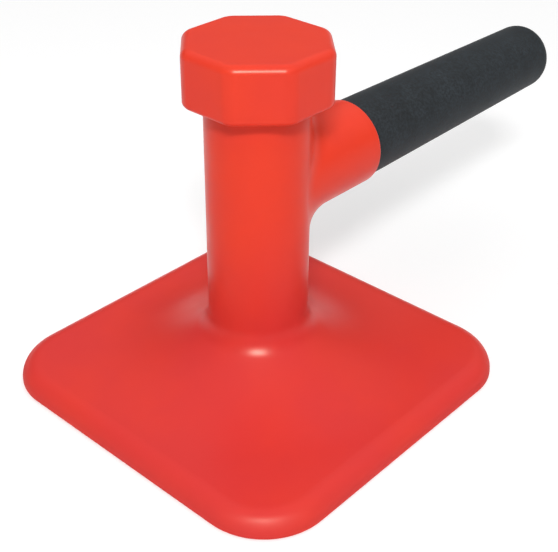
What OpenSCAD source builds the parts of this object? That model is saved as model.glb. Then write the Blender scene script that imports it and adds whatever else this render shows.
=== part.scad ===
// Hand tamper for one hand: a soft moulding over a welded steel core, with loose shot inside.
// The origin is the centre of the sole's underside. +Z is up and the handle runs along +X.

/* [Base] */
// Side of the steel sole plate
sole_side = 134; // [110:1:170]
// Thickness of the steel sole plate
sole_t = 4; // [2:0.5:8]
// Moulding under the sole plate
sole_under_t = 2.2; // [1.5:0.1:5]
// Moulding over the sole plate
sole_over_t = 2.4; // [1.5:0.1:5]
// Width of the moulded rim around the sole plate
rim_w = 9; // [6:0.5:15]
// Corner radius of the base, seen from above
base_corner_r = 27; // [18:1:40]
// Radius of the base's rolled top edge
base_edge_r = 7.6; // [3:0.1:8]
// Radius of the base's bottom edge
base_arris_r = 0.8; // [0.4:0.1:1]

/* [Column] */
// Outer diameter of the canister tube
canister_d = 33; // [30:0.5:45]
// Wall of the canister tube
canister_wall = 2.5; // [1.5:0.5:4]
// Moulding over the canister tube
column_skin_t = 3.2; // [2.6:0.1:8]
// Height of the column between the base and the strike cap
column_h = 112; // [95:1:160]
// Radius of the fillet between the column and the flare of its foot
foot_fillet_r = 12; // [4:0.5:16]
// Radius of the flare that runs out on the base, as far as its flat allows
foot_flare_r = 70; // [40:1:70]
// Least width of the base's flat between the flare and the rolled edge
flare_rim_w = 1.5; // [1:0.1:1.9]

/* [Handle] */
// Drop from the strike cap's underside to the handle's axis
handle_drop = 35.6; // [32:0.1:48]
// Outer diameter of the handle tube
core_d = 22; // [18:0.5:25]
// Wall of the handle tube
core_wall = 2; // [1.5:0.5:4]
// Moulding over the handle tube at the boss
boss_skin_t = 6.5; // [5.5:0.5:8]
// Length of the boss outside the column
boss_l = 32.9; // [26:0.1:45]
// Radius of the blend between the boss and the column
boss_blend_r = 14; // [6:0.5:16]
// Radius of the boss's end edge
boss_edge_r = 1.2; // [0.5:0.1:2]

/* [Grip] */
// Wall of the grip at the boss
grip_root_t = 5.3; // [3:0.1:5.4]
// Wall of the grip at its far end
grip_tip_t = 3.8; // [2.5:0.1:5.4]
// Length of the grip
grip_l = 136; // [110:1:170]
// Thickness of the grip's closed end
grip_end_t = 6; // [4:0.5:12]
// Radius of the grip's round end
grip_end_r = 8; // [3:0.5:10]
// Radius of the grip's edge at the boss
grip_root_r = 1; // [0.5:0.1:2]
// Thickness of the core plug's head
plug_head_t = 2; // [1:0.5:4]
// Length of the core plug inside the handle tube
plug_l = 12; // [6:1:25]

/* [Strike cap] */
// Overhang of the strike cap beyond the column
cap_overhang = 6.9; // [5:0.1:12]
// Moulding over the anvil plug, up to the striking face
cap_face_t = 10.5; // [6:0.5:15]
// Moulding under the anvil plug's flange
cap_under_t = 5.8; // [4:0.1:10]
// Radius of the cap's upright edges
cap_corner_r = 7; // [3:0.5:10]
// Radius of the cap's top edge
cap_top_r = 3.2; // [1:0.1:4]
// Radius of the cap's bottom edge
cap_lip_r = 2; // [1:0.1:4]
// Depth of the column's seat in the cap's underside
cap_seat_t = 2; // [1:0.5:3]

/* [Canister ends and welds] */
// Thickness of the anvil plug's flange
anvil_t = 5; // [3:0.5:10]
// Overhang of the anvil plug's flange beyond the canister tube
anvil_lip = 4.5; // [3.5:0.5:7]
// Length of the anvil plug inside the canister tube
spigot_l = 8; // [4:0.5:15]
// Radial gap between a plug and the tube that it closes
plug_gap = 0.05; // [0.02:0.01:0.2]
// Leg of the weld beads
weld_leg = 3; // [2:0.5:3.5]

/* [Shot] */
// Gap around each ball of shot
shot_gap = 0.3; // [0.2:0.05:0.6]
// Least free height over the shot
shot_headroom = 14; // [8:1:30]

/* [Hidden] */
$fn = 96;
hull_fn = 32;
// How far a cut runs past the face that it opens
cut_over = 1;
cap_sides = 8;
balls_per_layer = 3;
// Steps round the boss and along the arc of its blend
blend_steps_round = 48;
blend_steps_arc = 6;
// How far the blend's arc dips inside the faces that it joins, and how deep its section closes
blend_sink = 0.15;
blend_root = 2;
// How far the flare of the foot dips inside the base's flat
flare_sink = 0.05;

// Heights
sole_top_z = sole_under_t + sole_t;
base_h = sole_top_z + sole_over_t;
cap_z = base_h + column_h;
column_top_z = cap_z + cap_seat_t;
anvil_z = cap_z + cap_under_t;
cap_h = cap_under_t + anvil_t + cap_face_t;
handle_z = cap_z - handle_drop;
shot_roof_z = anvil_z - spigot_l;

// Widths and radii
base_side = sole_side + 2 * rim_w;
sole_corner_r = base_corner_r - rim_w;
base_roll_r = min(base_edge_r, base_h - base_arris_r);
base_flat_r = base_side / 2 - base_roll_r;
canister_r = canister_d / 2;
canister_bore_r = canister_r - canister_wall;
column_r = canister_r + column_skin_t;
anvil_r = canister_r + anvil_lip;
cap_across = 2 * (column_r + cap_overhang);
cap_top_roll_r = min(cap_top_r, cap_corner_r);
cap_lip_roll_r = min(cap_lip_r, cap_corner_r);
core_r = core_d / 2;
core_bore_r = core_r - core_wall;
boss_r = core_r + boss_skin_t;
grip_root_outer_r = core_r + grip_root_t;
grip_tip_outer_r = core_r + grip_tip_t;

// Foot: its fillet and its flare meet where it leans 3 in 4
foot_lean_sin = 0.6;
foot_lean_cos = 0.8;
foot_join_r = column_r + foot_fillet_r * (1 - foot_lean_sin);
flare_room = base_flat_r - flare_rim_w - foot_join_r;
flare_r = min(foot_flare_r, floor(flare_room / foot_lean_sin));
flare_z = base_h - flare_sink;
foot_reach_r = foot_join_r + flare_r * foot_lean_sin;
foot_join_z = flare_z + flare_r * (1 - foot_lean_cos);
foot_top_z = foot_join_z + foot_fillet_r * foot_lean_cos;

// Places along the handle
boss_end_x = column_r + boss_l;
grip_end_x = boss_end_x + grip_l;
plug_end_x = grip_end_x - grip_end_t;
core_end_x = plug_end_x - plug_head_t;

// Shot: three balls fill a layer of the bore, and each layer sits in the hollows of the one below
layer_angle = 360 / balls_per_layer;
half_layer_sin = sin(layer_angle / 2);
ball_d = (2 * half_layer_sin * (canister_bore_r - shot_gap) - shot_gap) / (1 + half_layer_sin);
ball_ring_r = canister_bore_r - shot_gap - ball_d / 2;
layer_shift = 2 * ball_ring_r * sin(layer_angle / 4);
layer_h = sqrt(pow(ball_d + shot_gap, 2) - pow(layer_shift, 2));
shot_space_h = shot_roof_z - sole_top_z - shot_gap - shot_headroom;
shot_layers = floor((shot_space_h - ball_d) / layer_h) + 1;

// Colours as the photo shows them, and bare steel inside
moulding_red = [0.875, 0.255, 0.225];
grip_black = [0.21, 0.23, 0.24];
steel_grey = [0.62, 0.63, 0.65];
weld_grey = [0.45, 0.44, 0.43];
plug_white = [0.85, 0.85, 0.82];

// What a rounding of radius r takes off an outer corner that lies at the origin
module corner_cut(r) {
    difference() {
        translate([-r, -r]) square(r + cut_over);
        translate([-r, -r]) circle(r);
    }
}

// Section through the edge of a slab, w wide and h high, rounded at its top and bottom
module edge_section(w, h, top_r, bottom_r) {
    difference() {
        square([w, h]);
        translate([w, h]) corner_cut(top_r);
        translate([w, 0]) mirror([0, 1]) corner_cut(bottom_r);
    }
}

// Square base slab with round corners: a core, a rounded edge along each side and a turned corner
module base_form() {
    inner = base_side / 2 - base_corner_r;
    translate([-inner, -inner, 0]) cube([2 * inner, 2 * inner, base_h]);
    for (side = [0 : 3]) rotate(side * 90) {
        translate([inner, inner, 0]) rotate([90, 0, 0])
            linear_extrude(2 * inner) edge_section(base_corner_r, base_h, base_roll_r, base_arris_r);
        translate([inner, inner, 0])
            rotate_extrude(angle = 90) edge_section(base_corner_r, base_h, base_roll_r, base_arris_r);
    }
}

// Octagonal head with its flats facing the handle and the sides of the base
module cap_form() {
    turn = 360 / cap_sides;
    reach = (cap_across / 2 - cap_corner_r) / cos(turn / 2);
    hull() for (i = [0 : cap_sides - 1])
        rotate((i + 0.5) * turn) translate([reach, 0, cap_z])
            rotate_extrude($fn = hull_fn)
                edge_section(cap_corner_r, cap_h, cap_top_roll_r, cap_lip_roll_r, $fn = hull_fn);
}

// Turns a shape that stands on the ground so that it lies along the handle's axis
module along_handle(x = 0) {
    translate([x, 0, handle_z]) rotate([0, 90, 0]) children();
}

// Weld bead with a three-cornered section round an upright tube, on a face that looks up
module ring_weld(tube_r) {
    rotate_extrude() polygon([[tube_r, 0], [tube_r + weld_leg, 0], [tube_r, weld_leg]]);
}

// Blend between the column and the boss: the space under a ball that rolls along both.
// Each section is its arc, which dips just inside the column and the boss, closed deep inside them.
function ball_centre(a) = let (y = (boss_r + boss_blend_r) * cos(a), z = (boss_r + boss_blend_r) * sin(a))
    [sqrt(max(0, pow(column_r + boss_blend_r, 2) - y * y)), y, z];
function on_column(c, r) = let (k = r / norm([c.x, c.y])) [c.x * k, c.y * k, c.z];
function on_boss(c, r) = let (k = r / norm([c.y, c.z])) [c.x, c.y * k, c.z * k];
function arc_point(c, from, to, t) =
    let (v = (from - c) * (1 - t) + (to - c) * t)
    c + v * (boss_blend_r + blend_sink) / norm(v);
function blend_section(a) =
    let (c = ball_centre(a), from = on_column(c, column_r), to = on_boss(c, boss_r))
    let (under = on_boss(c, boss_r - blend_root))
    concat(
        [[from.x - blend_root, under.y, under.z]],
        [for (i = [0 : blend_steps_arc]) arc_point(c, from, to, i / blend_steps_arc)]
    );

module boss_blend() {
    rings = [for (i = [0 : blend_steps_round - 1]) blend_section(i * 360 / blend_steps_round)];
    count = len(rings[0]);
    function at(i, j) = (i % blend_steps_round) * count + j % count;
    faces = [
        for (i = [0 : blend_steps_round - 1], j = [0 : count - 1])
            each [[at(i, j), at(i, j + 1), at(i + 1, j)], [at(i + 1, j), at(i, j + 1), at(i + 1, j + 1)]]
    ];
    translate([0, 0, handle_z]) polyhedron(points = [for (ring = rings) each ring], faces = faces);
}

// Section of the column's foot: a block under its fillet and one under its flare, down through the base
module foot_section() {
    difference() {
        square([foot_join_r, foot_top_z]);
        translate([column_r + foot_fillet_r, foot_top_z]) circle(foot_fillet_r);
    }
    difference() {
        square([foot_reach_r, foot_join_z]);
        translate([foot_reach_r, flare_z + flare_r]) circle(flare_r);
    }
}

// Outer form of the body moulding, before the steel core takes its space
module moulding_form() {
    base_form();
    rotate_extrude() {
        square([column_r, column_top_z]);
        foot_section();
    }
    along_handle() rotate_extrude() difference() {
        square([boss_r, boss_end_x]);
        translate([boss_r, boss_end_x]) corner_cut(boss_edge_r);
    }
    boss_blend();
}

module sole_form() {
    inner = sole_side / 2 - sole_corner_r;
    translate([0, 0, sole_under_t]) {
        translate([-inner, -sole_side / 2, 0]) cube([2 * inner, sole_side, sole_t]);
        translate([-sole_side / 2, -inner, 0]) cube([sole_side, 2 * inner, sole_t]);
        for (x = [-inner, inner], y = [-inner, inner])
            translate([x, y, 0]) cylinder(h = sole_t, r = sole_corner_r);
    }
}

module canister_form() {
    translate([0, 0, sole_top_z]) cylinder(h = anvil_z - sole_top_z, r = canister_r);
}

module core_form() {
    along_handle() cylinder(h = core_end_x, r = core_r);
}

module saddle_form() {
    intersection() {
        along_handle() cylinder(h = canister_r + weld_leg, r = core_r + weld_leg);
        translate([0, 0, sole_top_z]) cylinder(h = anvil_z - sole_top_z, r = canister_r + weld_leg);
    }
}

// All the space that the steel core takes out of the mouldings
module steel_space() {
    sole_form();
    canister_form();
    core_form();
    saddle_form();
    foot_weld();
    anvil_weld();
    translate([0, 0, anvil_z]) cylinder(h = anvil_t, r = anvil_r);
}

module body_moulding() {
    color(moulding_red) difference() {
        moulding_form();
        steel_space();
    }
}

module strike_cap() {
    color(moulding_red) difference() {
        cap_form();
        translate([0, 0, base_h]) cylinder(h = column_top_z - base_h, r = column_r);
        steel_space();
    }
}

module grip() {
    color(grip_black) difference() {
        along_handle(boss_end_x) rotate_extrude() difference() {
            polygon([
                [0, 0],
                [grip_root_outer_r, 0],
                [grip_tip_outer_r, grip_l - grip_end_r],
                [grip_tip_outer_r, grip_l],
                [0, grip_l]
            ]);
            translate([grip_tip_outer_r, grip_l]) corner_cut(grip_end_r);
            translate([grip_root_outer_r, 0]) mirror([0, 1]) corner_cut(grip_root_r);
        }
        along_handle() cylinder(h = plug_end_x, r = core_r);
    }
}

module sole_plate() {
    color(steel_grey) sole_form();
}

module canister_tube() {
    color(steel_grey) difference() {
        canister_form();
        cylinder(h = anvil_z + cut_over, r = canister_bore_r);
    }
}

module anvil_plug() {
    color(steel_grey) {
        translate([0, 0, anvil_z]) cylinder(h = anvil_t, r = anvil_r);
        translate([0, 0, shot_roof_z]) cylinder(h = spigot_l, r = canister_bore_r - plug_gap);
    }
}

module foot_weld() {
    color(weld_grey) translate([0, 0, sole_top_z]) ring_weld(canister_r);
}

module anvil_weld() {
    color(weld_grey) translate([0, 0, anvil_z]) mirror([0, 0, 1]) ring_weld(canister_r);
}

module handle_core() {
    color(steel_grey) difference() {
        core_form();
        along_handle() cylinder(h = core_end_x + cut_over, r = core_bore_r);
        canister_form();
    }
}

module saddle_weld() {
    color(weld_grey) difference() {
        saddle_form();
        canister_form();
        core_form();
    }
}

module core_plug() {
    color(plug_white) {
        along_handle(core_end_x) cylinder(h = plug_head_t, r = core_r);
        along_handle(core_end_x - plug_l) cylinder(h = plug_l, r = core_bore_r - plug_gap);
    }
}

module shot() {
    color(steel_grey) for (layer = [0 : shot_layers - 1], i = [0 : balls_per_layer - 1])
        rotate((i + layer / 2) * layer_angle)
            translate([ball_ring_r, 0, sole_top_z + shot_gap + ball_d / 2 + layer * layer_h])
                sphere(d = ball_d);
}

body_moulding();
strike_cap();
grip();
sole_plate();
canister_tube();
anvil_plug();
foot_weld();
anvil_weld();
handle_core();
saddle_weld();
core_plug();
shot();
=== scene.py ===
"""Looks of a one-hand tamper, modelled around its packed solids.

The body moulding, the strike cap and the grip are modelled here as hollow shells with their true walls.
The steel core inside them keeps its solids and gets its finishes.
"""

import math

import bmesh
import bpy
from bpy.props import FloatProperty, FloatVectorProperty, PointerProperty
from mathutils import Matrix, Vector


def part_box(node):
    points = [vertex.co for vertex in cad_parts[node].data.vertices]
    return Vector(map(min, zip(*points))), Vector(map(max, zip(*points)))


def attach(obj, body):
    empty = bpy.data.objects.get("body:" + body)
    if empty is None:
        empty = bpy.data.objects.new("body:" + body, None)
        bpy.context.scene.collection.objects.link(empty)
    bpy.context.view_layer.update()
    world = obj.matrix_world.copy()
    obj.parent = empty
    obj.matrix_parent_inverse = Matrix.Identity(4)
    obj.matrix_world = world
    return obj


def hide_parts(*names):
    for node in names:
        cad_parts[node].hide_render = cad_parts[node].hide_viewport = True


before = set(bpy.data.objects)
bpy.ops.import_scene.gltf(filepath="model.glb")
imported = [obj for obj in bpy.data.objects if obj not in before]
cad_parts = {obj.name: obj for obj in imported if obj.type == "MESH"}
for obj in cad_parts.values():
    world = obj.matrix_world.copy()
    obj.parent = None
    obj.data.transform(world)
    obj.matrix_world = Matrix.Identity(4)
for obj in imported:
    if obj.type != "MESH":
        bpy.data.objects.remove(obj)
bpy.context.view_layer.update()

bl_info = {
    "name": "Hand tamper",
    "version": (1, 0, 0),
    "blender": (4, 5, 0),
    "location": "View3D > Sidebar > Tamper",
    "description": "Builds a hand tamper's moulding, strike cap and grip, finishes its core and lights it",
    "category": "Object",
}

MM = 0.001
# Points that lie closer than this count as one point
TINY = 1e-6

# The column's axis and the handle's axis
UP = Vector((0, 0, 1))
ALONG = Vector((1, 0, 0))

# Steps round the outlines and walls, all of which share one count so that loop meets loop
WALL_STEPS = 192
# Steps over the prisms' rolled edges and round the profiles' arcs
ROLL_STEPS = 12
ARRIS_STEPS = 6
FLARE_STEPS = 32
FILLET_STEPS = 16
BOSS_EDGE_STEPS = 4
ROOT_EDGE_STEPS = 8
# Rows of faces along the profiles' straight stretches, and between the loops that are bridged
COLUMN_ROWS = 8
BARREL_ROWS = 8
GRIP_ROWS = 16
OUTER_ROWS = 12
INNER_ROWS = 6
# The window in a wall where the handle's branch leaves it, in steps to each side and in rows
WINDOW_HALF_STEPS = 42
WINDOW_ROWS = 40
WINDOW_LOOP = 2 * (2 * WINDOW_HALF_STEPS + WINDOW_ROWS)
# Edges that turn by more than this stay sharp
SHARP_ANGLE = math.radians(35)
# A rise of 3 in 4, in degrees
FOOT_SLOPE = math.degrees(math.atan2(3, 4))

# The range in which most of a noise lies
NOISE_LOW, NOISE_HIGH = 0.3, 0.7
# How a noise is drawn out into lines up the column or along the handle, or left even
LINES_UP = (1, 1, 0.05)
LINES_ALONG = (0.05, 1, 1)
EVEN = (1, 1, 1)
# Places of a mix node's colour sockets, whose names it uses more than once
MIX_FIRST, MIX_SECOND, MIX_RESULT = 6, 7, 2

WHITE = (1, 1, 1, 1)
# Half the floor's width in metres, its gap under the sole, and how near the camera sees
FLOOR_HALF = 200
FLOOR_DROP = 0.1 * MM
CAMERA_NEAR = 10 * MM

# Lowest and highest corners of the frame's nodes
BODY_LOW, BODY_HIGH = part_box("body_moulding")
CAP_LOW, CAP_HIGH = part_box("strike_cap")
GRIP_LOW, GRIP_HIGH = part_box("grip")
SOLE_LOW, SOLE_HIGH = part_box("sole_plate")
CORE_LOW, CORE_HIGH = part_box("handle_core")
ANVIL_WELD_LOW, ANVIL_WELD_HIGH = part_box("anvil_weld")
CANISTER_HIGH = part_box("canister_tube")[1]
FOOT_WELD_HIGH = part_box("foot_weld")[1]
ANVIL_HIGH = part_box("anvil_plug")[1]
SADDLE_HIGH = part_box("saddle_weld")[1]
PLUG_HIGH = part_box("core_plug")[1]

COLUMN_TOP = BODY_HIGH.z
HANDLE_Z = (CORE_LOW.z + CORE_HIGH.z) / 2
BOSS_END = GRIP_LOW.x
CANISTER_R = CANISTER_HIGH.y
CORE_R = CORE_HIGH.y


def length(name, description, millimetres):
    """A size in the model's own metres, written in millimetres."""
    return FloatProperty(
        name=name, description=description, default=millimetres * MM, min=0, precision=4, subtype="DISTANCE"
    )


def angle(name, description, degrees):
    """An angle, written in degrees."""
    return FloatProperty(
        name=name, description=description, default=math.radians(degrees), subtype="ANGLE"
    )


def colour(name, description, rgb):
    """An opaque colour."""
    return FloatVectorProperty(
        name=name, description=description, default=(*rgb, 1), size=4, min=0, max=1, subtype="COLOR"
    )


def level(name, description, value):
    """A strength of light, where 1 is white."""
    return FloatProperty(name=name, description=description, default=value, min=0, subtype="FACTOR")


def power(name, description, watts):
    """A lamp's power."""
    return FloatProperty(name=name, description=description, default=watts, min=0, unit="POWER")


class TamperBody(bpy.types.PropertyGroup):
    """Sizes of the body moulding"""

    plate_height: length("Plate height", "Height of the base plate's flat top", 8.6)
    plate_corner: length("Plate corner", "Radius of the base plate's corners, seen from above", 27)
    plate_roll: length("Plate roll", "Radius of the base plate's rolled top edge", 7.6)
    plate_arris: length("Plate arris", "Radius of the base plate's bottom edge", 0.8)
    column_radius: length("Column radius", "Outer radius of the column", 19.7)
    foot_fillet: length("Foot fillet", "Radius of the fillet between the column and its foot's flare", 12)
    foot_flare: length("Foot flare", "Radius of the flare that runs out on the base plate", 70)
    foot_lean: angle("Foot lean", "Slope of the foot where its fillet meets its flare", FOOT_SLOPE)
    boss_radius: length("Boss radius", "Outer radius of the handle's boss", 17.5)
    boss_blend: length("Boss blend", "Radius of the blend between boss and column", 14)
    boss_edge: length("Boss edge", "Radius of the boss's end edge", 1.2)
    window_margin: length("Window margin", "Band of wall that is left around a blend", 2.5)
    sole_corner: length("Sole corner", "Corner radius of the space for the sole plate", 18)


class TamperCap(bpy.types.PropertyGroup):
    """Sizes of the strike cap"""

    corner: length("Cap corner", "Radius of the cap's upright edges", 7)
    top_roll: length("Cap top roll", "Radius of the cap's top edge", 3.2)
    lip: length("Cap lip", "Radius of the cap's bottom edge", 2)


class TamperGrip(bpy.types.PropertyGroup):
    """Sizes of the grip"""

    tip_radius: length("Tip radius", "Outer radius of the grip at its far end", 14.8)
    end_round: length("End round", "Radius of the grip's round end", 8)
    root_edge: length("Root edge", "Radius of the grip's edge at the boss", 1)


class TamperFinish(bpy.types.PropertyGroup):
    """Colours of the finishes, and how high they reach"""

    red: colour("Red", "Colour of the red moulding", (0.87, 0.056, 0.023))
    # Painted shade: the red is painted darker towards the sole, from this colour at the lower height below
    # to the clear red at the upper one
    red_painted_shade: colour("Deep red", "Colour of the moulding where its pigment is denser", (0.71, 0.042, 0.039))
    shade_full_to: length("Deep red height", "Height up to which the red is at its deepest", 25)
    shade_end_from: length("Clear red height", "Height from which the red is at its clearest", 75)
    scuff_to: length("Scuff height", "Height up to which the ground has scuffed the moulding dull", 5.5)
    scuff_end: length("Scuff end", "Height at which the scuffs have faded out", 8.2)
    grip: colour("Grip", "Colour of the grip's rubber", (0.0108, 0.0158, 0.0206))
    grip_pale: colour("Pale grip", "Colour of the grip's dusty grain", (0.0180, 0.0252, 0.0320))
    steel: colour("Steel", "Colour of the bare steel", (0.50, 0.51, 0.53))
    steel_dark: colour("Dark steel", "Colour of the mill scale on the steel", (0.24, 0.25, 0.27))
    weld: colour("Weld", "Colour of the weld beads", (0.36, 0.35, 0.34))
    weld_heat: colour("Weld heat", "Heat tint of the weld beads", (0.30, 0.20, 0.14))
    plug: colour("Plug", "Colour of the plug's plastic", (0.72, 0.72, 0.68))
    plug_shade: colour("Plug shade", "Colour of the plug's dull patches", (0.60, 0.60, 0.55))


class TamperStage(bpy.types.PropertyGroup):
    """Camera, floor and light"""

    view_azimuth: angle("View azimuth", "Direction from which the camera looks, round the column", -48.052)
    view_elevation: angle("View elevation", "Height of the camera over the horizon", 32.557)
    view_roll: angle("View roll", "Tilt of the picture", 0.613)
    view_distance: length("View distance", "Distance from the camera to the point it aims at", 420.83)
    aim_side: length("Aim side", "How far to the picture's right of the column the camera aims", 8.21)
    aim_height: length("Aim height", "How high over the floor the camera aims", 45.2)
    lens: FloatProperty(name="Lens", description="Focal length", default=69.219, unit="CAMERA")
    floor: colour("Floor", "Colour of the floor", (0.86, 0.86, 0.86))
    sky_low: level("Low sky", "Strength of the light from the dullest sky", 0.12)
    sky_high: level("High sky", "Strength of the light from the brightest sky", 0.99)
    sky_start: angle("Sky start", "Height at which the sky begins to brighten", 21)
    sky_full: angle("Sky full", "Height from which the sky is at its brightest", 53)
    sky_turn: angle("Sky turn", "How far the brightest sky stands to the right of the camera", 135)
    sky_lean: angle("Sky lean", "How far the brightest sky stands from straight above", 8)
    wall_full: angle("Backdrop full", "Height up to which the backdrop is white", 4)
    wall_end: angle("Backdrop end", "Height at which the backdrop has faded out", 6.5)
    floor_lift: level("Floor lift", "How much brighter than its own shade the floor looks", 0.24)
    lamp_distance: length("Lamp distance", "Distance from the column to the lamps", 1400)
    key_turn: angle("Key turn", "How far the key lamp stands to the right of the camera", 0)
    key_elevation: angle("Key elevation", "Height of the key lamp over the horizon", 44)
    key_width: length("Key width", "Width of the key lamp", 260)
    key_height: length("Key height", "Height of the key lamp's face", 160)
    key: power("Key", "Power of the key lamp", 9.7)
    gleam_turn: angle("Gleam turn", "How far the highlights' lamp stands to the right of the camera", 1)
    gleam_elevation: angle("Gleam elevation", "Height of the highlights' lamp over the horizon", 42)
    gleam_width: length("Gleam width", "Width of the highlights' lamp", 520)
    gleam_height: length("Gleam height", "Height of the highlights' lamp's face", 400)
    gleam: power("Gleam", "Power of the highlights' lamp", 58)
    gleam_tint: colour("Gleam tint", "Colour of the highlights' lamp", (1, 0.89, 0.73))


def line(bm, end, point, steps=1):
    """Draws a straight chain of edges from a vertex to a point and returns the new end."""
    start = end.co.copy()
    for i in range(1, steps + 1):
        (end,) = bmesh.ops.extrude_vert_indiv(bm, verts=[end])["verts"]
        end.co = start.lerp(point, i / steps)
    return end


def arc(bm, end, centre, turn, steps):
    """Draws a chain of edges from a vertex round a centre, in the XZ plane, and returns the new end."""
    made = bmesh.ops.spin(bm, geom=[end], cent=centre, axis=(0, 1, 0), angle=turn, steps=steps)
    return next(part for part in made["geom_last"] if isinstance(part, bmesh.types.BMVert))


def spin_round(bm, centre, axis):
    """Spins everything that is drawn so far through a full turn."""
    drawn = bm.verts[:] + bm.edges[:]
    bmesh.ops.spin(
        bm, geom=drawn, cent=centre, axis=axis, angle=math.tau, steps=WALL_STEPS, use_merge=True
    )


def absorb(bm, other):
    """Adds the shape of another bmesh to this one and frees it."""
    passing = bpy.data.meshes.new("passing")
    other.to_mesh(passing)
    other.free()
    bm.from_mesh(passing)
    bpy.data.meshes.remove(passing)


def open_loops(bm, where):
    """The edges of open loops that lie where a test of a point says."""
    return [edge for edge in bm.edges if edge.is_boundary and all(where(vert.co) for vert in edge.verts)]


def bridge(bm, where, steps=1, axis=None):
    """Joins the two open loops that lie somewhere and returns the vertices that cut the rungs into steps.

    Loops that lie in one plane round an axis are held apart along it meanwhile, the wider one further,
    because the operator takes its direction from their centres.
    """
    edges = open_loops(bm, where)
    rest = {vert: vert.co.copy() for edge in edges for vert in edge.verts}
    if axis:
        centre = sum(rest.values(), Vector()) / len(rest)
        for vert, co in rest.items():
            vert.co = co + axis * (co - centre).length
    made = bmesh.ops.bridge_loops(bm, edges=edges)
    for vert, co in rest.items():
        vert.co = co
    if steps == 1:
        return []
    cut = bmesh.ops.subdivide_edges(bm, edges=made["edges"], cuts=steps - 1)
    return [part for part in cut["geom_inner"] if isinstance(part, bmesh.types.BMVert)]


def close_end(bm, where):
    """Fills an open loop with one flat face."""
    bmesh.ops.edgeloop_fill(bm, edges=open_loops(bm, where))


def flat_face(bm, up):
    """The widest face that looks straight up, or straight down."""
    bm.normal_update()
    return max(bm.faces, key=lambda face: face.normal.z * up * face.calc_area())


def roll_edge(bm, edges, radius, steps):
    """Rounds edges with an arc that leaves the faces beside them by the given distance."""
    bmesh.ops.bevel(
        bm,
        geom=edges,
        offset=radius,
        offset_type="OFFSET",
        segments=steps,
        profile=0.5,
        affect="EDGES",
        material=-1,
    )


def rounded_prism(sides, across, low, high, corner, top_roll=0, arris=0):
    """A prism with flats towards X and Y, round upright edges and rolled top and bottom edges.

    Half of each side's steps go to its round corner and half to its flat, so that its outline has
    as many steps as a wall.
    """
    bm = bmesh.new()
    half_turn = math.pi / sides
    radius = across / 2 / math.cos(half_turn)
    place = Matrix.Translation((0, 0, (low + high) / 2)) @ Matrix.Rotation(half_turn, 4, "Z")
    bmesh.ops.create_cone(
        bm, cap_ends=True, segments=sides, radius1=radius, radius2=radius, depth=high - low, matrix=place
    )
    side_steps = WALL_STEPS // sides // 2
    upright = [edge for edge in bm.edges if abs(edge.verts[0].co.z - edge.verts[1].co.z) > TINY]
    roll_edge(bm, upright, corner * math.tan(half_turn), side_steps)
    if top_roll:
        roll_edge(bm, list(flat_face(bm, 1).edges), top_roll, ROLL_STEPS)
    if arris:
        roll_edge(bm, list(flat_face(bm, -1).edges), arris, ARRIS_STEPS)
    flat = across * math.tan(half_turn) - 2 * corner * math.tan(half_turn)
    flats = [
        edge
        for edge in bm.edges
        if abs(edge.verts[0].co.z - edge.verts[1].co.z) < TINY and edge.calc_length() > flat / 2
    ]
    bmesh.ops.subdivide_edges(bm, edges=flats, cuts=side_steps - 1)
    return bm


def remove_flat(bm, up):
    """Opens a prism at its top, or at its bottom."""
    bmesh.ops.delete(bm, geom=[flat_face(bm, up)], context="FACES_ONLY")


def cut_window(bm, low, high):
    """Takes a window out of a wall, towards the handle, between two of its rows."""
    widest = WINDOW_HALF_STEPS * math.tau / WALL_STEPS
    gone = []
    for face in bm.faces:
        middle = face.calc_center_median()
        if low < middle.z < high and abs(math.atan2(middle.y, middle.x)) < widest:
            gone.append(face)
    bmesh.ops.delete(bm, geom=gone, context="FACES")


def branch_tube(rings):
    """Draws a tube through rings round the handle, each a function that gives a point for an angle."""
    bm = bmesh.new()
    round_angle = bm.verts.layers.float.new("round_angle")
    ring_verts = bmesh.ops.create_circle(bm, segments=WINDOW_LOOP, radius=1)["verts"]
    for i, vert in enumerate(ring_verts):
        vert[round_angle] = i * math.tau / WINDOW_LOOP
    ring_edges = bm.edges[:]
    for i, ring in enumerate(rings):
        if i:
            made = bmesh.ops.extrude_edge_only(bm, edges=ring_edges)["geom"]
            ring_verts = [part for part in made if isinstance(part, bmesh.types.BMVert)]
            new = set(ring_verts)
            ring_edges = [edge for edge in bm.edges if new.issuperset(edge.verts)]
        for vert in ring_verts:
            vert.co = ring(vert[round_angle])
    return bm


def round_handle(x, radius, a):
    """The point at an angle of a circle round the handle's axis."""
    return Vector((x, radius * math.cos(a), HANDLE_Z + radius * math.sin(a)))


def on_upright(upright_radius, radius, a):
    """The point where a line along the handle leaves an upright cylinder."""
    point = round_handle(0, radius, a)
    point.x = math.sqrt(upright_radius**2 - point.y**2)
    return point


def boss_rings(body):
    """Rings of the boss: its rounded end edge, its barrel and its blend, which a rolling ball leaves."""
    ball_track = body.boss_radius + body.boss_blend
    barrel_end = BOSS_END - body.boss_edge

    def ball_centre(a):
        return on_upright(body.column_radius + body.boss_blend, ball_track, a)

    def end_edge(share):
        lean = share * math.pi / 2
        x = barrel_end + body.boss_edge * math.cos(lean)
        radius = body.boss_radius - body.boss_edge * (1 - math.sin(lean))
        return lambda a: round_handle(x, radius, a)

    def barrel(share):
        return lambda a: round_handle(
            barrel_end + (ball_centre(a).x - barrel_end) * share, body.boss_radius, a
        )

    def blend(share):
        def point(a):
            centre = ball_centre(a)
            to_boss = Vector((0, -math.cos(a), -math.sin(a)))
            to_column = Vector((-centre.x, -centre.y, 0)).normalized()
            return centre + body.boss_blend * to_boss.slerp(to_column, share)

        return point

    return (
        [end_edge(i / BOSS_EDGE_STEPS) for i in range(BOSS_EDGE_STEPS + 1)]
        + [barrel(i / BARREL_ROWS) for i in range(1, BARREL_ROWS + 1)]
        + [blend(i / FILLET_STEPS) for i in range(1, FILLET_STEPS + 1)]
    )


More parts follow.
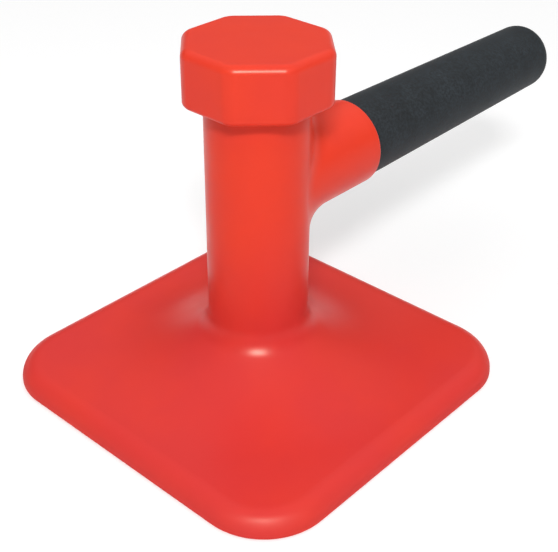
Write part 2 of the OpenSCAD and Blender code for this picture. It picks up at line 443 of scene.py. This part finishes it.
def core_rings():
    """Rings of the space for the handle's tube and for the weld where it meets the canister."""
    saddle_r, saddle_reach = SADDLE_HIGH.y, SADDLE_HIGH.x
    return [
        lambda a: round_handle(BOSS_END, CORE_R, a),
        lambda a: on_upright(saddle_reach, CORE_R, a),
        lambda a: on_upright(saddle_reach, saddle_r, a),
        lambda a: on_upright(CANISTER_R, saddle_r, a),
    ]


def shell(slab, wall, slab_top, wall_radius, window_half, rings, rows):
    """Joins a slab, the turned wall that stands on it and the branch that leaves the wall."""
    remove_flat(slab, 1)
    low, high = HANDLE_Z - window_half, HANDLE_Z + window_half
    cut_window(wall, low, high)
    absorb(slab, wall)
    absorb(slab, branch_tube(rings))
    bridge(slab, lambda co: abs(co.z - slab_top) < TINY, rows, UP)

    def round_window(co):
        return abs(co.xy.length - wall_radius) < TINY and low - TINY < co.z < high + TINY

    for vert in bridge(slab, round_window, rows):
        vert.co.xy *= wall_radius / vert.co.xy.length
    return slab


def outer_shell(body):
    """The outside of the body moulding."""
    slab = rounded_prism(
        sides=4,
        across=BODY_HIGH.x - BODY_LOW.x,
        low=0,
        high=body.plate_height,
        corner=body.plate_corner,
        top_roll=body.plate_roll,
        arris=body.plate_arris,
    )
    window_half = body.boss_radius + body.boss_blend + body.window_margin
    lean_sin, lean_cos = math.sin(body.foot_lean), math.cos(body.foot_lean)
    fillet_x = body.column_radius + body.foot_fillet
    foot_reach = fillet_x + (body.foot_flare - body.foot_fillet) * lean_sin
    foot_top = body.plate_height + body.foot_flare * (1 - lean_cos) + body.foot_fillet * lean_cos
    wall = bmesh.new()
    end = wall.verts.new((foot_reach, 0, body.plate_height))
    end = arc(wall, end, (foot_reach, 0, body.plate_height + body.foot_flare), body.foot_lean, FLARE_STEPS)
    end = arc(wall, end, (fillet_x, 0, foot_top), math.pi / 2 - body.foot_lean, FILLET_STEPS)
    end = line(wall, end, (body.column_radius, 0, HANDLE_Z - window_half), COLUMN_ROWS)
    end = line(wall, end, (body.column_radius, 0, HANDLE_Z + window_half), WINDOW_ROWS)
    line(wall, end, (body.column_radius, 0, COLUMN_TOP))
    spin_round(wall, Vector(), UP)
    return shell(
        slab, wall, body.plate_height, body.column_radius, window_half, boss_rings(body), OUTER_ROWS
    )


def inner_shell(body):
    """The inside of the body moulding, which fits the sole plate, the two tubes and their welds."""
    slab = rounded_prism(
        sides=4,
        across=SOLE_HIGH.x - SOLE_LOW.x,
        low=SOLE_LOW.z,
        high=SOLE_HIGH.z,
        corner=body.sole_corner,
    )
    window_half = SADDLE_HIGH.y + body.window_margin
    wall = bmesh.new()
    end = wall.verts.new((FOOT_WELD_HIGH.x, 0, SOLE_HIGH.z))
    end = line(wall, end, (CANISTER_R, 0, FOOT_WELD_HIGH.z))
    end = line(wall, end, (CANISTER_R, 0, HANDLE_Z - window_half))
    end = line(wall, end, (CANISTER_R, 0, HANDLE_Z + window_half), WINDOW_ROWS)
    line(wall, end, (CANISTER_R, 0, COLUMN_TOP))
    spin_round(wall, Vector(), UP)
    return shell(slab, wall, SOLE_HIGH.z, CANISTER_R, window_half, core_rings(), INNER_ROWS)


def new_piece(name, bm, material, node):
    """Makes the object of a closed mesh, which stands for a CAD node and rides on the tamper."""
    bmesh.ops.remove_doubles(bm, verts=bm.verts, dist=TINY)
    bmesh.ops.recalc_face_normals(bm, faces=bm.faces)
    gaps = sum(not edge.is_manifold for edge in bm.edges)
    if gaps:
        raise RuntimeError(f"{name} has {gaps} open edges")
    for face in bm.faces:
        face.smooth = True
    mesh = bpy.data.meshes.new(name)
    bm.to_mesh(mesh)
    bm.free()
    mesh.set_sharp_from_angle(angle=SHARP_ANGLE)
    mesh.materials.append(material)
    piece = bpy.data.objects.new(name, mesh)
    bpy.context.scene.collection.objects.link(piece)
    evened = piece.modifiers.new("even_shading", "WEIGHTED_NORMAL")
    evened.keep_sharp = True
    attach(piece, "tamper")
    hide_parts(node)
    return piece


def add(tree, kind, inputs=None, **settings):
    """Adds a shader node, sets its settings, and sets or links its inputs."""
    made = tree.nodes.new(kind)
    for name, value in settings.items():
        setattr(made, name, value)
    for name, value in (inputs or {}).items():
        connect(tree, made, name, value)
    return made


def connect(tree, node, name, value):
    """Links a socket to a node's input, or sets the input to a plain value."""
    if isinstance(value, bpy.types.NodeSocket):
        tree.links.new(value, node.inputs[name])
    else:
        node.inputs[name].default_value = value


def new_surface(name):
    """A new node material with its tree, its shader and the piece's own coordinates."""
    material = bpy.data.materials.new(name)
    material.use_nodes = True
    tree = material.node_tree
    place = add(tree, "ShaderNodeTexCoord").outputs["Object"]
    return material, tree, tree.nodes["Principled BSDF"], place


def noise(tree, place, scale, detail=2, roughness=0.5, stretch=None):
    """Soft noise with so many blots to the metre, drawn out along an axis where stretch says so."""
    if stretch:
        place = add(tree, "ShaderNodeMapping", {"Vector": place, "Scale": stretch}).outputs["Vector"]
    inputs = {"Vector": place, "Scale": scale, "Detail": detail, "Roughness": roughness}
    return add(tree, "ShaderNodeTexNoise", inputs).outputs["Fac"]


def between(tree, value, low, high, from_low=NOISE_LOW, from_high=NOISE_HIGH):
    """Leads smoothly from one level to another as a value, such as a noise, crosses a range."""
    inputs = {
        "Value": value,
        "From Min": from_low,
        "From Max": from_high,
        "To Min": low,
        "To Max": high,
    }
    made = add(tree, "ShaderNodeMapRange", inputs, interpolation_type="SMOOTHSTEP")
    return made.outputs["Result"]


def reckon(tree, operation, first, second):
    """The result of one operation on two values."""
    made = add(tree, "ShaderNodeMath", {0: first, 1: second}, operation=operation)
    return made.outputs["Value"]


def shaded(tree, value, dark, light, low=NOISE_LOW, high=NOISE_HIGH):
    """A colour between two, which a value such as a noise picks."""
    ramp = add(tree, "ShaderNodeValToRGB", {"Fac": value})
    for stop, position, tone in zip(ramp.color_ramp.elements, (low, high), (dark, light)):
        stop.position = position
        stop.color = tone
    return ramp.outputs["Color"]


def flecked(tree, base, fleck):
    """A colour that a fine fleck lightens and darkens."""
    mix = add(tree, "ShaderNodeMix", data_type="RGBA", blend_type="OVERLAY")
    mix.inputs["Factor"].default_value = 1
    tree.links.new(base, mix.inputs[MIX_FIRST])
    tree.links.new(fleck, mix.inputs[MIX_SECOND])
    return mix.outputs[MIX_RESULT]


def relief(tree, height, depth, strength=1.0, over=None):
    """A bump of so many metres at most, laid over another one where there is one."""
    inputs = {"Height": height, "Distance": depth, "Strength": strength}
    if over:
        inputs["Normal"] = over
    return add(tree, "ShaderNodeBump", inputs).outputs["Normal"]


def moulded_red(finish):
    """Red cast urethane: glossy, with a slight orange peel and dull smears.

    Its red is painted darker towards the sole, a painted shade, and its rim is scuffed dull by the ground.
    """
    material, tree, shader, place = new_surface("moulded_red")
    height = add(tree, "ShaderNodeSeparateXYZ", {"Vector": place}).outputs["Z"]
    # Painted shade: the red darkens towards the sole by height, with a random drift of tone laid over it
    rise = between(tree, height, low=0.2, high=0.8, from_low=finish.shade_full_to, from_high=finish.shade_end_from)
    drift = between(tree, noise(tree, place, scale=22, detail=3), low=-0.15, high=0.15)
    painted_shade_and_tone = reckon(tree, "ADD", rise, drift)
    smear = between(tree, noise(tree, place, scale=55, detail=3), low=0.285, high=0.345)
    scuff = between(tree, height, low=0.25, high=0, from_low=finish.scuff_to, from_high=finish.scuff_end)
    wave = relief(tree, noise(tree, place, scale=45, detail=1), depth=0.3 * MM, strength=0.3)
    peel = noise(tree, place, scale=240, detail=1)
    reds = shaded(tree, painted_shade_and_tone, finish.red_painted_shade, finish.red, low=0, high=1)
    connect(tree, shader, "Base Color", reds)
    connect(tree, shader, "Roughness", reckon(tree, "ADD", smear, scuff))
    connect(tree, shader, "Normal", relief(tree, peel, depth=0.05 * MM, strength=0.4, over=wave))
    connect(tree, shader, "Specular IOR Level", 0.12)
    return material


def rubber_black(finish):
    """Matt rubber: a fine grain with a dusty bloom on it."""
    material, tree, shader, place = new_surface("rubber_black")
    dust = noise(tree, place, scale=70, detail=4, roughness=0.6)
    grain = noise(tree, place, scale=900, detail=3, roughness=0.6)
    pores = relief(tree, noise(tree, place, scale=2400), depth=0.05 * MM, strength=0.5)
    bloom = shaded(tree, dust, finish.grip, finish.grip_pale)
    fleck = between(tree, grain, low=0.26, high=0.74)
    connect(tree, shader, "Base Color", flecked(tree, bloom, fleck))
    connect(tree, shader, "Roughness", between(tree, grain, low=0.62, high=0.82))
    connect(tree, shader, "Normal", relief(tree, grain, depth=0.09 * MM, strength=0.6, over=pores))
    connect(tree, shader, "Specular IOR Level", 0.2)
    connect(tree, shader, "Sheen Weight", 0.06)
    connect(tree, shader, "Sheen Roughness", 0.4)
    return material


def drawn_steel(finish, name, stretch):
    """Bare drawn or rolled steel: fine lines along its length, with grey mill scale in patches."""
    material, tree, shader, place = new_surface(name)
    lines = noise(tree, place, scale=900, detail=3, stretch=stretch)
    patches = noise(tree, place, scale=60, detail=4, roughness=0.6)
    colours = shaded(tree, patches, finish.steel_dark, finish.steel, high=0.55)
    connect(tree, shader, "Base Color", colours)
    connect(tree, shader, "Metallic", 1)
    connect(tree, shader, "Roughness", between(tree, lines, low=0.3, high=0.5))
    connect(tree, shader, "Normal", relief(tree, lines, depth=0.03 * MM, strength=0.6))
    return material


def weld_bead(finish):
    """Weld bead: rippled metal with brown heat tint."""
    material, tree, shader, place = new_surface("weld_bead")
    heat = noise(tree, place, scale=90, detail=3)
    ripple = noise(tree, place, scale=520)
    connect(tree, shader, "Base Color", shaded(tree, heat, finish.weld_heat, finish.weld))
    connect(tree, shader, "Metallic", 1)
    connect(tree, shader, "Roughness", between(tree, ripple, low=0.35, high=0.6))
    connect(tree, shader, "Normal", relief(tree, ripple, depth=0.4 * MM, strength=0.7))
    return material


def plug_plastic(finish):
    """Plain moulded plastic of the plug in the handle's tube."""
    material, tree, shader, place = new_surface("plug_plastic")
    patches = noise(tree, place, scale=80, detail=3)
    grain = noise(tree, place, scale=1500)
    connect(tree, shader, "Base Color", shaded(tree, patches, finish.plug_shade, finish.plug))
    connect(tree, shader, "Roughness", between(tree, grain, low=0.5, high=0.65))
    connect(tree, shader, "Normal", relief(tree, grain, depth=0.05 * MM, strength=0.4))
    return material


def shared_material(name, make):
    """A material that is made once and used by several pieces."""
    return bpy.data.materials.get(name) or make(bpy.context.scene.tamper_finish)


class TAMPER_OT_body_skin(bpy.types.Operator):
    """Model the body moulding: base plate, column, boss and the space for the steel core"""

    bl_idname = "tamper.body_skin"
    bl_label = "Body moulding"

    def execute(self, context):
        body = context.scene.tamper_body
        bm = outer_shell(body)
        absorb(bm, inner_shell(body))
        bridge(bm, lambda co: abs(co.z - COLUMN_TOP) < TINY, axis=UP)
        bridge(bm, lambda co: abs(co.x - BOSS_END) < TINY, axis=ALONG)
        new_piece("body_skin", bm, shared_material("moulded_red", moulded_red), "body_moulding")
        return {"FINISHED"}


class TAMPER_OT_cap_head(bpy.types.Operator):
    """Model the octagonal strike cap with its seat for the column and the space for the anvil plug"""

    bl_idname = "tamper.cap_head"
    bl_label = "Strike cap"

    def execute(self, context):
        cap, column_radius = context.scene.tamper_cap, context.scene.tamper_body.column_radius
        bm = rounded_prism(
            sides=8,
            across=CAP_HIGH.y - CAP_LOW.y,
            low=CAP_LOW.z,
            high=CAP_HIGH.z,
            corner=cap.corner,
            top_roll=cap.top_roll,
            arris=cap.lip,
        )
        remove_flat(bm, -1)
        seat = bmesh.new()
        end = seat.verts.new((column_radius, 0, CAP_LOW.z))
        for radius, height in (
            (column_radius, COLUMN_TOP),
            (CANISTER_R, COLUMN_TOP),
            (CANISTER_R, ANVIL_WELD_LOW.z),
            (ANVIL_WELD_HIGH.x, ANVIL_WELD_HIGH.z),
            (ANVIL_HIGH.x, ANVIL_WELD_HIGH.z),
            (ANVIL_HIGH.x, ANVIL_HIGH.z),
        ):
            end = line(seat, end, (radius, 0, height))
        spin_round(seat, Vector(), UP)
        close_end(seat, lambda co: abs(co.z - ANVIL_HIGH.z) < TINY)
        absorb(bm, seat)
        bridge(bm, lambda co: abs(co.z - CAP_LOW.z) < TINY, axis=UP)
        new_piece("cap_head", bm, shared_material("moulded_red", moulded_red), "strike_cap")
        return {"FINISHED"}


class TAMPER_OT_grip_sleeve(bpy.types.Operator):
    """Model the tapered grip with its round end and the bore for the handle's tube"""

    bl_idname = "tamper.grip_sleeve"
    bl_label = "Grip"

    def execute(self, context):
        grip = context.scene.tamper_grip
        root_radius = GRIP_HIGH.y
        tip, bore_end = GRIP_HIGH.x, PLUG_HIGH.x
        round_start = tip - grip.end_round
        bm = bmesh.new()
        end = bm.verts.new((bore_end, 0, HANDLE_Z + CORE_R))
        end = line(bm, end, (BOSS_END, 0, HANDLE_Z + CORE_R))
        end = line(bm, end, (BOSS_END, 0, HANDLE_Z + root_radius - grip.root_edge))
        edge_centre = (BOSS_END + grip.root_edge, 0, HANDLE_Z + root_radius - grip.root_edge)
        end = arc(bm, end, edge_centre, math.pi / 2, ROOT_EDGE_STEPS)
        end = line(bm, end, (round_start, 0, HANDLE_Z + grip.tip_radius), GRIP_ROWS)
        end_centre = (round_start, 0, HANDLE_Z + grip.tip_radius - grip.end_round)
        arc(bm, end, end_centre, math.pi / 2, FILLET_STEPS)
        spin_round(bm, Vector((0, 0, HANDLE_Z)), ALONG)
        close_end(bm, lambda co: abs(co.x - bore_end) < TINY)
        close_end(bm, lambda co: abs(co.x - tip) < TINY)
        new_piece("grip_sleeve", bm, shared_material("rubber_black", rubber_black), "grip")
        return {"FINISHED"}


class TAMPER_OT_core_finish(bpy.types.Operator):
    """Give the steel core, its welds, the plug and the shot their finishes"""

    bl_idname = "tamper.core_finish"
    bl_label = "Core finishes"

    def execute(self, context):
        finish = context.scene.tamper_finish
        upright = drawn_steel(finish, "upright_steel", LINES_UP)
        level_steel = drawn_steel(finish, "level_steel", LINES_ALONG)
        weld = weld_bead(finish)
        finishes = {
            "sole_plate": level_steel,
            "canister_tube": upright,
            "anvil_plug": upright,
            "foot_weld": weld,
            "anvil_weld": weld,
            "handle_core": level_steel,
            "saddle_weld": weld,
            "core_plug": plug_plastic(finish),
            "shot": drawn_steel(finish, "shot_steel", EVEN),
        }
        for name, material in finishes.items():
            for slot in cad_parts[name].material_slots:
                slot.material = material
        return {"FINISHED"}


def direction(azimuth, elevation):
    """The direction from the column to something that stands round it and over the horizon."""
    flat = math.cos(elevation)
    return Vector((math.sin(azimuth) * flat, -math.cos(azimuth) * flat, math.sin(elevation)))


def add_lamp(stage, name, turn, elevation, width, height, watts):
    """Adds a soft oblong lamp that looks at the column from the camera's side."""
    lamp = bpy.data.lights.new(name, "AREA")
    lamp.shape = "RECTANGLE"
    lamp.size, lamp.size_y = width, height
    lamp.energy = watts
    made = bpy.data.objects.new(name, lamp)
    back = direction(stage.view_azimuth + turn, elevation)
    made.location = UP * stage.aim_height + back * stage.lamp_distance
    made.rotation_euler = (-back).to_track_quat("-Z", "Y").to_euler()
    bpy.context.scene.collection.objects.link(made)
    return made


def seen_rays(tree):
    """One for rays that see the backdrop straight, in a reflection or through glass, and else zero."""
    rays = add(tree, "ShaderNodeLightPath").outputs
    seen = rays["Is Camera Ray"]
    for name in ("Is Glossy Ray", "Is Transmission Ray"):
        seen = reckon(tree, "MAXIMUM", seen, rays[name])
    return seen


class TAMPER_OT_stage(bpy.types.Operator):
    """Set up the camera, the pale floor, the sky with its white backdrop, and the two lamps"""

    bl_idname = "tamper.stage"
    bl_label = "Stage"

    def execute(self, context):
        stage = context.scene.tamper_stage
        context.scene.view_settings.view_transform = "Standard"
        self.place_camera(context, stage)
        self.lay_floor(stage)
        self.light_world(context, stage)
        key = add_lamp(
            stage,
            "key_lamp",
            stage.key_turn,
            stage.key_elevation,
            stage.key_width,
            stage.key_height,
            stage.key,
        )
        key.visible_glossy = False
        gleam = add_lamp(
            stage,
            "gleam_lamp",
            stage.gleam_turn,
            stage.gleam_elevation,
            stage.gleam_width,
            stage.gleam_height,
            stage.gleam,
        )
        gleam.data.color = stage.gleam_tint[:3]
        gleam.visible_diffuse = False
        return {"FINISHED"}

    def place_camera(self, context, stage):
        """Adds the camera at the photograph's viewing angle."""
        roll = stage.view_roll
        back = direction(stage.view_azimuth, stage.view_elevation)
        right = UP.cross(back).normalized()
        up = back.cross(right)
        aim = right * stage.aim_side + UP * stage.aim_height
        turned_right = right * math.cos(roll) + up * math.sin(roll)
        turned_up = up * math.cos(roll) - right * math.sin(roll)
        camera = bpy.data.objects.new("camera", bpy.data.cameras.new("camera"))
        camera.data.lens = stage.lens
        camera.data.clip_start = CAMERA_NEAR
        axes = Matrix((turned_right, turned_up, back)).transposed().to_4x4()
        camera.matrix_world = Matrix.Translation(aim + back * stage.view_distance) @ axes
        context.scene.collection.objects.link(camera)
        context.scene.camera = camera

    def lay_floor(self, stage):
        """Adds a wide pale floor just under the sole, which looks brighter than it lights the tool."""
        bm = bmesh.new()
        place = Matrix.Translation((0, 0, -FLOOR_DROP))
        bmesh.ops.create_grid(bm, x_segments=1, y_segments=1, size=FLOOR_HALF, matrix=place)
        mesh = bpy.data.meshes.new("floor")
        bm.to_mesh(mesh)
        bm.free()
        material, tree, shader, _ = new_surface("floor")
        connect(tree, shader, "Base Color", stage.floor)
        connect(tree, shader, "Roughness", 1)
        connect(tree, shader, "Specular IOR Level", 0)
        connect(tree, shader, "Emission Color", WHITE)
        lift = reckon(tree, "MULTIPLY", seen_rays(tree), stage.floor_lift)
        connect(tree, shader, "Emission Strength", lift)
        mesh.materials.append(material)
        floor = bpy.data.objects.new("floor", mesh)
        bpy.context.scene.collection.objects.link(floor)

    def light_world(self, context, stage):
        """Lights the scene with a sky that is brightest near the top, over a low white backdrop."""
        world = bpy.data.worlds.new("studio")
        world.use_nodes = True
        context.scene.world = world
        tree = world.node_tree
        ray = add(tree, "ShaderNodeTexCoord").outputs["Generated"]
        brightest = direction(stage.view_azimuth + stage.sky_turn, math.pi / 2 - stage.sky_lean)
        nearness = add(tree, "ShaderNodeVectorMath", {0: ray, 1: brightest}, operation="DOT_PRODUCT")
        dull, bright = math.sin(stage.sky_start), math.sin(stage.sky_full)
        sky = between(tree, nearness.outputs["Value"], stage.sky_low, stage.sky_high, dull, bright)
        height = add(tree, "ShaderNodeSeparateXYZ", {"Vector": ray}).outputs["Z"]
        full, faded = math.sin(stage.wall_full), math.sin(stage.wall_end)
        wall = between(tree, height, low=1, high=0, from_low=full, from_high=faded)
        backdrop = reckon(tree, "MULTIPLY", seen_rays(tree), wall)
        background = tree.nodes["Background"]
        connect(tree, background, "Color", WHITE)
        connect(tree, background, "Strength", reckon(tree, "MAXIMUM", backdrop, sky))


OPERATORS = (
    TAMPER_OT_body_skin,
    TAMPER_OT_cap_head,
    TAMPER_OT_grip_sleeve,
    TAMPER_OT_core_finish,
    TAMPER_OT_stage,
)
SETTINGS = {
    "tamper_body": TamperBody,
    "tamper_cap": TamperCap,
    "tamper_grip": TamperGrip,
    "tamper_finish": TamperFinish,
    "tamper_stage": TamperStage,
}


class TAMPER_PT_sidebar(bpy.types.Panel):
    """Lists the tamper's pieces and their sizes"""

    bl_idname = "TAMPER_PT_sidebar"
    bl_label = "Tamper"
    bl_space_type = "VIEW_3D"
    bl_region_type = "UI"
    bl_category = "Tamper"

    def draw(self, context):
        for operator in OPERATORS:
            self.layout.operator(operator.bl_idname)
        for name, group in SETTINGS.items():
            box = self.layout.box()
            box.label(text=group.__doc__)
            for field in group.__annotations__:
                box.prop(getattr(context.scene, name), field)


CLASSES = (*SETTINGS.values(), *OPERATORS, TAMPER_PT_sidebar)


def register():
    for cls in CLASSES:
        bpy.utils.register_class(cls)
    for name, group in SETTINGS.items():
        setattr(bpy.types.Scene, name, PointerProperty(type=group))


def unregister():
    for name in SETTINGS:
        delattr(bpy.types.Scene, name)
    for cls in reversed(CLASSES):
        bpy.utils.unregister_class(cls)


def main():
    register()
    bpy.ops.tamper.stage()
    bpy.ops.tamper.body_skin()
    bpy.ops.tamper.cap_head()
    bpy.ops.tamper.grip_sleeve()
    bpy.ops.tamper.core_finish()


if __name__ == "__main__":
    main()
